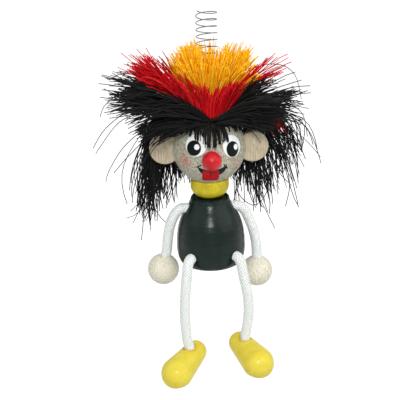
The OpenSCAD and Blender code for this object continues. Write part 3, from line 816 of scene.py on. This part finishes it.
def shoe(name):
    """One shoe, hung from the end of its cord."""
    way = SIDES[name]
    turn, tip = SHOE_TURNS[name]
    heel = ball((HEEL_W / 2, 0, HEEL_H - HEEL_W / 2), HEEL_W, 1)
    toe = ball((SHOE_LEN - SHOE_W / 2, 0, TOE_H * TOE_MID), SHOE_W,
               2 * TOE_H * (1 - TOE_MID) / SHOE_W)
    heel.select_set(True)
    bpy.context.view_layer.objects.active = toe
    bpy.ops.object.join()
    piece = bpy.context.object
    piece.name = "shoe_shell_" + name
    bpy.ops.object.transform_apply(location=True, rotation=True, scale=True)
    bpy.ops.object.mode_set(mode="EDIT")
    bpy.ops.mesh.select_all(action="SELECT")
    bpy.ops.mesh.convex_hull()
    bpy.ops.mesh.select_all(action="SELECT")
    bpy.ops.mesh.bisect(plane_co=(0, 0, 0), plane_no=(0, 0, 1), use_fill=True, clear_inner=True)
    bpy.ops.object.mode_set(mode="OBJECT")
    remesh = piece.modifiers.new("even faces", "REMESH")
    remesh.mode = "VOXEL"
    remesh.voxel_size = SHOE_VOXEL * MM
    bpy.ops.object.modifier_apply(modifier="even faces")
    soften = piece.modifiers.new("soften", "SMOOTH")
    soften.factor = 0.5
    soften.iterations = 6
    bpy.ops.object.modifier_apply(modifier="soften")
    # From lying on its sole to hanging from its cord
    ankle_share = (ANKLE_X - HEEL_W / 2) / (SHOE_LEN - HEEL_W / 2 - SHOE_W / 2)
    ankle_h = HEEL_H + (TOE_H - HEEL_H) * ankle_share
    place = (Matrix.Translation(ankles[name] * MM)
             @ Matrix.Rotation(math.radians(way * turn - 90), 4, "Z")
             @ Matrix.Rotation(math.radians(tip), 4, "Y")
             @ Matrix.Translation(Vector((-ANKLE_X, 0, -ankle_h)) * MM))
    piece.data.transform(place)
    # The drilled hole, and a cone that breaks its edge
    down = hole_way(way, SHOE_SLANTS[name])
    for label, (low_r, high_r, low, high) in SHOE_CUTS.items():
        middle = (ankles[name] - down * (low + high) / 2) * MM
        bpy.ops.object.select_all(action="DESELECT")
        bpy.ops.mesh.primitive_cone_add(
            vertices=64, radius1=low_r * MM, radius2=high_r * MM, depth=(high - low) * MM,
            location=tuple(middle), rotation=(0, math.atan2(-down.x, -down.z), 0))
        cutter = bpy.context.object
        keep_only(piece)
        cut = piece.modifiers.new(label, "BOOLEAN")
        cut.operation = "DIFFERENCE"
        cut.object = cutter
        bpy.ops.object.modifier_apply(modifier=label)
        bpy.data.objects.remove(cutter)
    keep_only(piece)
    bpy.ops.object.shade_smooth_by_angle(angle=math.radians(40))
    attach(piece, name + "_leg")
    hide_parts("shoe_" + name)
    print(piece.name, len(piece.data.polygons), "faces")
    return piece


shoes = {name: shoe(name) for name in SIDES}

# %% [markdown]
# ## Finishes as sums
# A shader is easier to read as a sum than as a web of nodes. One small class holds a node's output
# and adds a Math node for each +, - or * that is used on it. Every other kind of node comes from
# one method, which takes the node's settings and the values or links of its inputs.

# %% Shader sums
class Wire:
    """One output of a shader node."""

    def __init__(self, paint, socket):
        self.paint = paint
        self.socket = socket

    def maths(self, operation, *others):
        inputs = dict(enumerate((self,) + others))
        return self.paint.node("ShaderNodeMath", {"operation": operation}, inputs)

    def __add__(self, other):
        return self.maths("ADD", other)

    def __sub__(self, other):
        return self.maths("SUBTRACT", other)

    def __mul__(self, other):
        return self.maths("MULTIPLY", other)

    def __rsub__(self, other):
        return self * -1 + other

    __radd__ = __add__
    __rmul__ = __mul__


class Paint:
    """A material and the nodes that are added to it."""

    def __init__(self, name, **constants):
        self.material = bpy.data.materials.new(name)
        self.material.use_nodes = True
        self.tree = self.material.node_tree
        self.shader = self.tree.nodes["Principled BSDF"]
        for socket, value in constants.items():
            self.shader.inputs[socket.replace("_", " ")].default_value = value

    def node(self, kind, settings, inputs, out=0):
        """Adds a node, with its settings first and then the values or links of its inputs."""
        made = self.tree.nodes.new(kind)
        for name, value in settings.items():
            setattr(made, name, value)
        for key, value in inputs.items():
            if isinstance(value, Wire):
                self.tree.links.new(value.socket, made.inputs[key])
            else:
                made.inputs[key].default_value = value
        return Wire(self, made.outputs[out])

    def place(self, centre=(0, 0, 0), stretch=(1, 1, 1)):
        """Object coordinates in millimetres from a centre, also given in millimetres."""
        coordinates = self.node("ShaderNodeTexCoord", {}, {}, "Object")
        shifted = self.node("ShaderNodeMapping", {}, {
            "Vector": coordinates, "Location": tuple(-c for c in centre), "Scale": (1 / MM,) * 3})
        if tuple(stretch) == (1, 1, 1):
            return shifted
        return self.node("ShaderNodeMapping", {}, {"Vector": shifted, "Scale": tuple(stretch)})

    def noise(self, vector, scale, detail=3, rough=0.55):
        """Noise from 0 to 1, with about scale spots in a millimetre."""
        return self.node("ShaderNodeTexNoise", {}, {
            "Vector": vector, "Scale": scale, "Detail": detail, "Roughness": rough})

    def fade(self, value, low, high, to_low=0, to_high=1):
        """A smooth step: to_low below low, to_high above high."""
        return self.node("ShaderNodeMapRange", {"interpolation_type": "SMOOTHSTEP"}, {
            "Value": value, "From Min": low, "From Max": high, "To Min": to_low, "To Max": to_high})

    def blend(self, share, under, over):
        """A share of one colour laid over another: colours go in at sockets 6 and 7, out at 2."""
        return self.node("ShaderNodeMix", {"data_type": "RGBA", "clamp_factor": True}, {
            0: share, 6: under, 7: over}, 2)

    def attribute(self, name):
        """A number that the mesh holds for each of its points."""
        return self.node("ShaderNodeAttribute", {"attribute_name": name}, {}, "Fac")

    def dot(self, vector, way):
        return self.node("ShaderNodeVectorMath", {"operation": "DOT_PRODUCT"}, {
            0: vector, 1: tuple(way)}, "Value")

    def parts(self, vector):
        """The x, y and z of a vector."""
        split = self.node("ShaderNodeSeparateXYZ", {}, {0: vector}).socket.node
        return [Wire(self, socket) for socket in split.outputs]

    def finish(self, base, rough, bump=None, bump_height=0.02):
        """Links the shader's inputs. A bump of 1 stands bump_height millimetres high."""
        links = {"Base Color": base, "Roughness": rough}
        if bump is not None:
            links["Normal"] = self.node("ShaderNodeBump", {}, {
                "Height": bump, "Strength": 1.0, "Distance": bump_height * MM})
        for name, wire in links.items():
            self.tree.links.new(wire.socket, self.shader.inputs[name])
        return self.material


def colour(r, g, b):
    """A screen colour, 0 to 255, as the linear colour that a shader takes."""
    def linear(v):
        v = v / 255
        return v / 12.92 if v <= 0.04045 else ((v + 0.055) / 1.055) ** 2.4
    return (linear(r), linear(g), linear(b), 1)


def dress(material, *pieces):
    """Gives pieces, or CAD nodes by name, one material."""
    for piece in pieces:
        thing = frame["nodes"][piece] if isinstance(piece, str) else piece
        thing.data.materials.clear()
        thing.data.materials.append(material)
    print(material.name, "on", len(pieces), "pieces")


# %% [markdown]
# ## Wood
# The ball, ears and hands are pale hardwood under clear lacquer. Its grain is fine: thin streaks
# along the tree's axis, short dark pores, and slow changes of tone. Noise that is squeezed across
# the grain gives the streaks.

# %% Wood grain
def grain(paint, centre, along, light, dark, fine=7, pore=None):
    """Wood colour and height, with the grain along one axis, and open pores if they have a colour."""
    thin = [fine] * 3
    thin["xyz".index(along)] = fine * 0.08
    broad = [2.2] * 3
    broad["xyz".index(along)] = 0.12
    streak = paint.noise(paint.place(centre, stretch=thin), 1, 4, 0.65)
    wide = paint.noise(paint.place(centre, stretch=broad), 1, 3)
    tone = streak * 0.6 + wide * 0.4
    base = paint.blend(paint.fade(tone, 0.36, 0.64), dark, light)
    if pore:
        base = paint.blend(paint.fade(streak, 0.28, 0.4, 1, 0) * 0.5, base, pore)
    return base, tone


# %% [markdown]
# ## Head and painted face
# The face is painted on the bare ball: round white eyes with black pupils and a white fleck each,
# an open mouth drawn as a black crescent with short strokes at its corners, a red tongue and faint
# red cheeks. Each mark is a mask of its own, worked out from the direction in which a point lies
# from the ball's centre, so nothing has to be unwrapped and the paint stays sharp at any size.

# %% Masks on a ball
def spot(paint, direction, azimuth, elevation, radius, soft=0.6):
    """1 inside a circle on the ball, with a soft edge; all in degrees."""
    inner = math.cos(math.radians(radius - soft))
    outer = math.cos(math.radians(radius + soft))
    return paint.fade(paint.dot(direction, way_to(azimuth, elevation)), outer, inner)


def stroke(paint, x, z, start, end, width, soft=0.12):
    """1 inside a straight stroke on the face, in millimetres."""
    run = math.hypot(end[0] - start[0], end[1] - start[1])
    ux = (end[0] - start[0]) / run
    uz = (end[1] - start[1]) / run
    along = (x - start[0]) * ux + (z - start[1]) * uz
    across = ((x - start[0]) * -uz + (z - start[1]) * ux).maths("ABSOLUTE")
    past = (along - run / 2).maths("ABSOLUTE") - run / 2
    distance = past.maths("MAXIMUM", 0.0) + across
    return paint.fade(distance, width / 2 - soft, width / 2 + soft, 1, 0)


def disc(paint, x, z, centre, radius, soft=0.15):
    """1 inside a circle on the face, in millimetres."""
    dx = x - centre[0]
    dz = z - centre[1]
    distance = (dx * dx + dz * dz).maths("SQRT")
    return paint.fade(distance, radius - soft, radius + soft, 1, 0)


# %% Head material
# Millimetres are from the middle of the ball, x to the figure's left and z up
head_paint = Paint("painted_head", Specular_IOR_Level=0.12)
wood, tone = grain(head_paint, tuple(HEAD), "z", colour(186, 184, 164), colour(160, 157, 137))
speckle = head_paint.noise(head_paint.place(tuple(HEAD), stretch=(1, 1, 0.6)), 1.5, 2, 0.8)
wood = head_paint.blend(head_paint.fade(speckle, 0.5, 0.62) * 0.65, wood, colour(218, 216, 201))
wood = head_paint.blend(head_paint.fade(speckle, 0.37, 0.48, 1, 0) * 0.65, wood, colour(108, 101, 80))
centred = head_paint.place(tuple(HEAD))
direction = head_paint.node("ShaderNodeVectorMath", {"operation": "NORMALIZE"}, {0: centred})
x, y, z = head_paint.parts(centred)
front = head_paint.fade(y, -3.0, -1.0, 1, 0)

# Cheeks: azimuth, elevation, radius and softness in degrees, and the strength in pits and on rises
face = wood
for cheek, strong, weak in (((-48, -8, 8, 8), 0.75, 0.3), ((45, -18, 7, 7), 0.5, 0.15)):
    blush = spot(head_paint, direction, *cheek) * head_paint.fade(speckle, 0.35, 0.6, strong, weak)
    face = head_paint.blend(blush, face, colour(184, 92, 84))

# Eyes: azimuth, elevation and radius of the white, the pupil and the fleck
white = colour(247, 252, 252)
black = colour(4, 5, 6)
eyes = [((-27.4, 19.0, 17.2), (-30.3, 14.2, 11.9), (-25.2, 16.2, 4.2)),
        ((35.2, 13.9, 17.2), (34.8, 9.1, 12.2), (41.4, 11.2, 4.4))]
for eye_white, pupil, glint in eyes:
    face = head_paint.blend(spot(head_paint, direction, *eye_white), face, white)
    face = head_paint.blend(spot(head_paint, direction, *pupil), face, black)
    face = head_paint.blend(spot(head_paint, direction, *glint), face, white)

# The mouth lies inside one circle and outside a larger, higher one
smile = disc(head_paint, x, z, (-0.05, -3.5), 7.0)
mouth = smile * (1 - disc(head_paint, x, z, (-0.3, 5.6), 12.1))
for start, end in (((-7.3, -4.9), (-5.4, -3.6)), ((5.4, -4.1), (7.1, -6.3))):
    mouth = mouth.maths("MAXIMUM", stroke(head_paint, x, z, start, end, 0.7))
face = head_paint.blend(mouth * front, face, black)

# The tongue is a square with round corners: the distance from a smaller square inside it
wide = ((x + 0.85).maths("ABSOLUTE") - 2.6).maths("MAXIMUM", 0.0)
deep = ((z + 9.8).maths("ABSOLUTE") - 1.9).maths("MAXIMUM", 0.0)
corner = (wide.maths("POWER", 2.0) + deep.maths("POWER", 2.0)).maths("SQRT")
tongue = head_paint.fade(corner, 1.3, 1.55, 1, 0) * front
tongue_tone = head_paint.fade(speckle, 0.35, 0.6)
tongue_tone = head_paint.blend(tongue_tone, colour(158, 12, 26), colour(196, 24, 40))
face = head_paint.blend(tongue, face, tongue_tone)
groove = stroke(head_paint, x, z, (-1.0, -7.2), (-0.95, -10.2), 0.5) * front
face = head_paint.blend(groove * 0.85, face, colour(80, 6, 14))
painted = tongue.maths("MAXIMUM", mouth * front)
head_material = head_paint.finish(
    base=face, rough=head_paint.fade(painted, 0, 1, 0.5, 0.4),
    bump=tone + painted * 0.8, bump_height=0.04)
dress(head_material, "head")

# %% Ears and hands
ear_paint = Paint("ear_wood", Specular_IOR_Level=0.16)
wood, tone = grain(ear_paint, tuple(HEAD), "z", colour(208, 197, 173), colour(168, 152, 124), 3.4,
                   colour(142, 122, 94))
rough = ear_paint.fade(tone, 0.3, 0.7, 0.5, 0.4)
dress(ear_paint.finish(base=wood, rough=rough, bump=tone, bump_height=0.04), "ear_left", "ear_right")

for node, along in (("hand_right", "y"), ("hand_left", "z")):
    low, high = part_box(node)
    centre = tuple((a + b) / 2 / MM for a, b in zip(low, high))
    hand_paint = Paint(node + "_wood", Specular_IOR_Level=0.16)
    wood, tone = grain(hand_paint, centre, along, colour(250, 246, 231), colour(198, 190, 165), 3.4)
    fleck = hand_paint.noise(hand_paint.place(centre), 2.0, 3, 0.8)
    wood = hand_paint.blend(hand_paint.fade(fleck, 0.34, 0.46, 1, 0) * 0.2, wood, colour(158, 146, 118))
    rough = hand_paint.fade(tone, 0.3, 0.7, 0.5, 0.4)
    dress(hand_paint.finish(base=wood, rough=rough, bump=tone, bump_height=0.04), node)

peg_paint = Paint("peg_wood")
wood, tone = grain(peg_paint, tuple(HEAD), "z", colour(214, 190, 146), colour(180, 150, 104))
rough = peg_paint.fade(tone, 0.3, 0.7, 0.65, 0.55)
dress(peg_paint.finish(base=wood, rough=rough, bump=tone, bump_height=0.05), "nose_peg", "neck_dowel")

# %% [markdown]
# ## Coloured lacquer
# Nose, collar, torso and shoes are dipped or sprayed in thick glossy lacquer. It levels out, so
# only slow waves and the faint rings of the lathe under it break up the shine. On the shoes, shade
# is painted as a darker orange in the rim of the cord's hole.

# %% Lacquers
def lacquer(name, light, dark, rings=0.0, specular=0.12, coat=0.0):
    """A lacquer's paint, its colour and height, and the rings of the lathe under it."""
    paint = Paint(name, Specular_IOR_Level=specular, Coat_Weight=coat, Coat_Roughness=0.2)
    cloud = paint.noise(paint.place(), 0.22, 3)
    base = paint.blend(paint.fade(cloud, 0.35, 0.65), dark, light)
    up = paint.parts(paint.place())[2]
    lathe = paint.noise(paint.node("ShaderNodeCombineXYZ", {}, {"Z": up}), 1.8, 4, 0.75)
    waves = paint.noise(paint.place(), 0.5, 2)
    height = waves + lathe * rings
    return paint, base, height, lathe


# %% Nose and collar
for node, name, light, dark, specular in (
        ("nose", "red_lacquer", colour(212, 30, 44), colour(184, 16, 30), 0.26),
        ("collar", "yellow_collar", colour(206, 188, 34), colour(184, 166, 16), 0.3)):
    paint, base, height, lathe = lacquer(name, light, dark, specular=specular)
    rough = paint.fade(lathe, 0, 1, 0.3, 0.4)
    dress(paint.finish(base=base, rough=rough, bump=height, bump_height=0.05), node)

# %% Torso, whose rings break up the light that runs down it
paint, base, height, lathe = lacquer(
    "green_lacquer", colour(4, 30, 23), colour(2, 20, 14), rings=0.7, specular=0.21)
base = paint.blend(paint.fade(lathe, 0.55, 0.75) * 0.3, base, colour(22, 40, 35))
rough = paint.fade(lathe, 0.3, 0.7, 0.17, 0.34)
dress(paint.finish(base=base, rough=rough, bump=height, bump_height=0.06), "torso")

# %% Shoes, with painted shade: their yellow goes darker orange in the rim of the cord's hole
for name, piece in shoes.items():
    paint, base, height, lathe = lacquer(
        "yellow_shoe_" + name, colour(228, 211, 78), colour(222, 202, 62), coat=0.08)
    x, y, z = paint.parts(paint.place())
    dx = x - ankles[name].x
    dy = y - ankles[name].y
    off = (dx * dx + dy * dy).maths("SQRT")
    near_top = paint.fade(z, ankles[name].z - 3.5, ankles[name].z - 2)
    # Painted shade: darker orange in the rim round the cord's hole, on the top of the shoe only
    base = paint.blend(paint.fade(off, 2.6, 4.4, 1, 0) * near_top * 0.55, base, colour(196, 128, 20))
    rough = paint.fade(lathe, 0, 1, 0.22, 0.32)
    dress(paint.finish(base=base, rough=rough, bump=height, bump_height=0.05), piece)

# %% [markdown]
# ## Cord, yarn and steel
# The cord's white cotton gets painted shade: it goes grey in the grooves between strands, which the
# braid's own height tells the material. Yarn has a shade of its own in each strand and fine fibres
# across it. The wire is bare steel, dulled by handling.

# %% Cord
cord_paint = Paint("braided_cotton", Sheen_Weight=0.25, Sheen_Roughness=0.5)
braid = cord_paint.attribute("braid")
fibre = cord_paint.noise(cord_paint.place(), 9, 3, 0.7)
soft = cord_paint.noise(cord_paint.place(), 1.1, 2)
# Painted shade: grey where the braid is low, in its grooves, mixed with a slow random tone
groove_shade_and_tone = braid + (soft - 0.5) * 0.8
base = cord_paint.blend(cord_paint.fade(groove_shade_and_tone, 0.15, 0.75), colour(198, 207, 202), colour(246, 248, 246))
base = cord_paint.blend(cord_paint.fade(fibre, 0.34, 0.46, 1, 0) * 0.3, base, colour(180, 190, 185))
rough = cord_paint.fade(fibre, 0, 1, 0.75, 0.95)
dress(cord_paint.finish(base=base, rough=rough, bump=fibre, bump_height=0.06),
      *arm_cords.values(), *leg_cords.values())

# %% Yarn
def yarn_paint(name, dark, middle, light):
    """Yarn from dark strands to light ones."""
    paint = Paint(name, Specular_IOR_Level=0.1)
    shade = paint.attribute("shade")
    fibre = paint.noise(paint.place(), 5, 2, 0.6)
    tone = shade * 0.75 + fibre * 0.35
    base = paint.blend(paint.fade(tone, 0.15, 0.55), dark, middle)
    base = paint.blend(paint.fade(tone, 0.55, 0.95), base, light)
    rough = paint.fade(fibre, 0, 1, 0.55, 0.8)
    return paint.finish(base=base, rough=rough, bump=fibre, bump_height=0.05)


gold = yarn_paint("gold_yarn", colour(255, 166, 0), colour(255, 188, 10), colour(255, 214, 70))
red = yarn_paint("red_yarn", colour(156, 3, 12), colour(212, 10, 22), colour(234, 48, 52))
black = yarn_paint("black_yarn", colour(11, 13, 12), colour(21, 23, 22), colour(40, 42, 40))
for piece in bpy.data.objects:
    if piece.name.startswith("yarn_"):
        dress({"yarn_gold": gold, "yarn_red": red}.get(piece.name, black), piece)

# %% Steel
steel_paint = Paint("spring_steel", Metallic=1.0)
dull = steel_paint.noise(steel_paint.place(), 1.6, 3)
base = steel_paint.blend(steel_paint.fade(dull, 0.35, 0.65), colour(84, 86, 90), colour(132, 133, 136))
dress(steel_paint.finish(base=base, rough=steel_paint.fade(dull, 0.3, 0.7, 0.24, 0.4)),
      top_wire, upper_wire, coil_wire, foot_wire, "spring_screw")

# %% [markdown]
# ## Floor and light
# The figure hangs over a pale floor in soft light that comes from near the camera, as the
# highlights in the middle of the nose and down the torso show. The floor and the world turn white
# for the camera and in reflections, and the floor stays a little short of white where the figure's
# shadow falls.

# %% What the camera and reflections see
def seen_rays(tree):
    """A socket that is 1 for rays from the camera and in reflections, and 0 for light."""
    rays = tree.nodes.new("ShaderNodeLightPath")
    seen = tree.nodes.new("ShaderNodeMath")
    seen.operation = "MAXIMUM"
    tree.links.new(rays.outputs["Is Camera Ray"], seen.inputs[0])
    tree.links.new(rays.outputs["Is Glossy Ray"], seen.inputs[1])
    return seen.outputs[0]


# %% Floor
FLOOR_Z = -0.30
FLOOR_R = 4
bpy.ops.object.select_all(action="DESELECT")
bpy.ops.mesh.primitive_circle_add(
    vertices=128, radius=FLOOR_R, fill_type="NGON", location=(0, 0, FLOOR_Z))
floor = bpy.context.object
floor.name = "floor"
bpy.ops.object.transform_apply(location=True, rotation=True, scale=True)
floor_material = bpy.data.materials.new("pale_floor")
floor_material.use_nodes = True
tree = floor_material.node_tree
tree.nodes.clear()
diffuse = tree.nodes.new("ShaderNodeBsdfDiffuse")
diffuse.inputs["Color"].default_value = (0.52, 0.52, 0.52, 1)
glow = tree.nodes.new("ShaderNodeEmission")
tree.links.new(seen_rays(tree), glow.inputs["Strength"])
glow.inputs["Color"].default_value = (0.8, 0.8, 0.8, 1)
both = tree.nodes.new("ShaderNodeAddShader")
tree.links.new(diffuse.outputs[0], both.inputs[0])
tree.links.new(glow.outputs[0], both.inputs[1])
end = tree.nodes.new("ShaderNodeOutputMaterial")
tree.links.new(both.outputs[0], end.inputs[0])
floor.data.materials.append(floor_material)
print("floor at", FLOOR_Z, "m,", 2 * FLOOR_R, "m across")

# %% World
WORLD_LIGHT = 0.49
world = bpy.data.worlds.new("studio")
bpy.context.scene.world = world
world.use_nodes = True
tree = world.node_tree
tree.nodes.clear()
level = tree.nodes.new("ShaderNodeMapRange")
tree.links.new(seen_rays(tree), level.inputs["Value"])
level.inputs["To Min"].default_value = WORLD_LIGHT
level.inputs["To Max"].default_value = 1.0
sky = tree.nodes.new("ShaderNodeBackground")
sky.inputs["Color"].default_value = (1, 1, 1, 1)
tree.links.new(level.outputs[0], sky.inputs["Strength"])
end = tree.nodes.new("ShaderNodeOutputWorld")
tree.links.new(sky.outputs[0], end.inputs[0])
print("the world lights the figure at", WORLD_LIGHT)

# %% Lamps: azimuth, elevation, distance and size in metres, power in watts
BODY = Vector((0, 0, -0.09))


def lamp(name, azimuth, elevation, distance, size, power):
    """A square soft lamp that faces the figure."""
    away = way_to(azimuth, elevation)
    bpy.ops.object.light_add(type="AREA", location=tuple(BODY + away * distance))
    light = bpy.context.object
    light.name = name
    light.rotation_euler = (-away).to_track_quat("-Z", "Y").to_euler()
    light.data.size = size
    light.data.energy = power
    print(name, "of", power, "W at", tuple(round(v, 2) for v in light.location))


lamp("front_lamp", -6, 30, 0.9, 0.13, 4.0)
lamp("left_lamp", 60, 35, 1.0, 1.1, 4.6)
lamp("right_lamp", -65, 35, 1.0, 0.9, 1.2)
bpy.context.scene.view_settings.view_transform = "Standard"
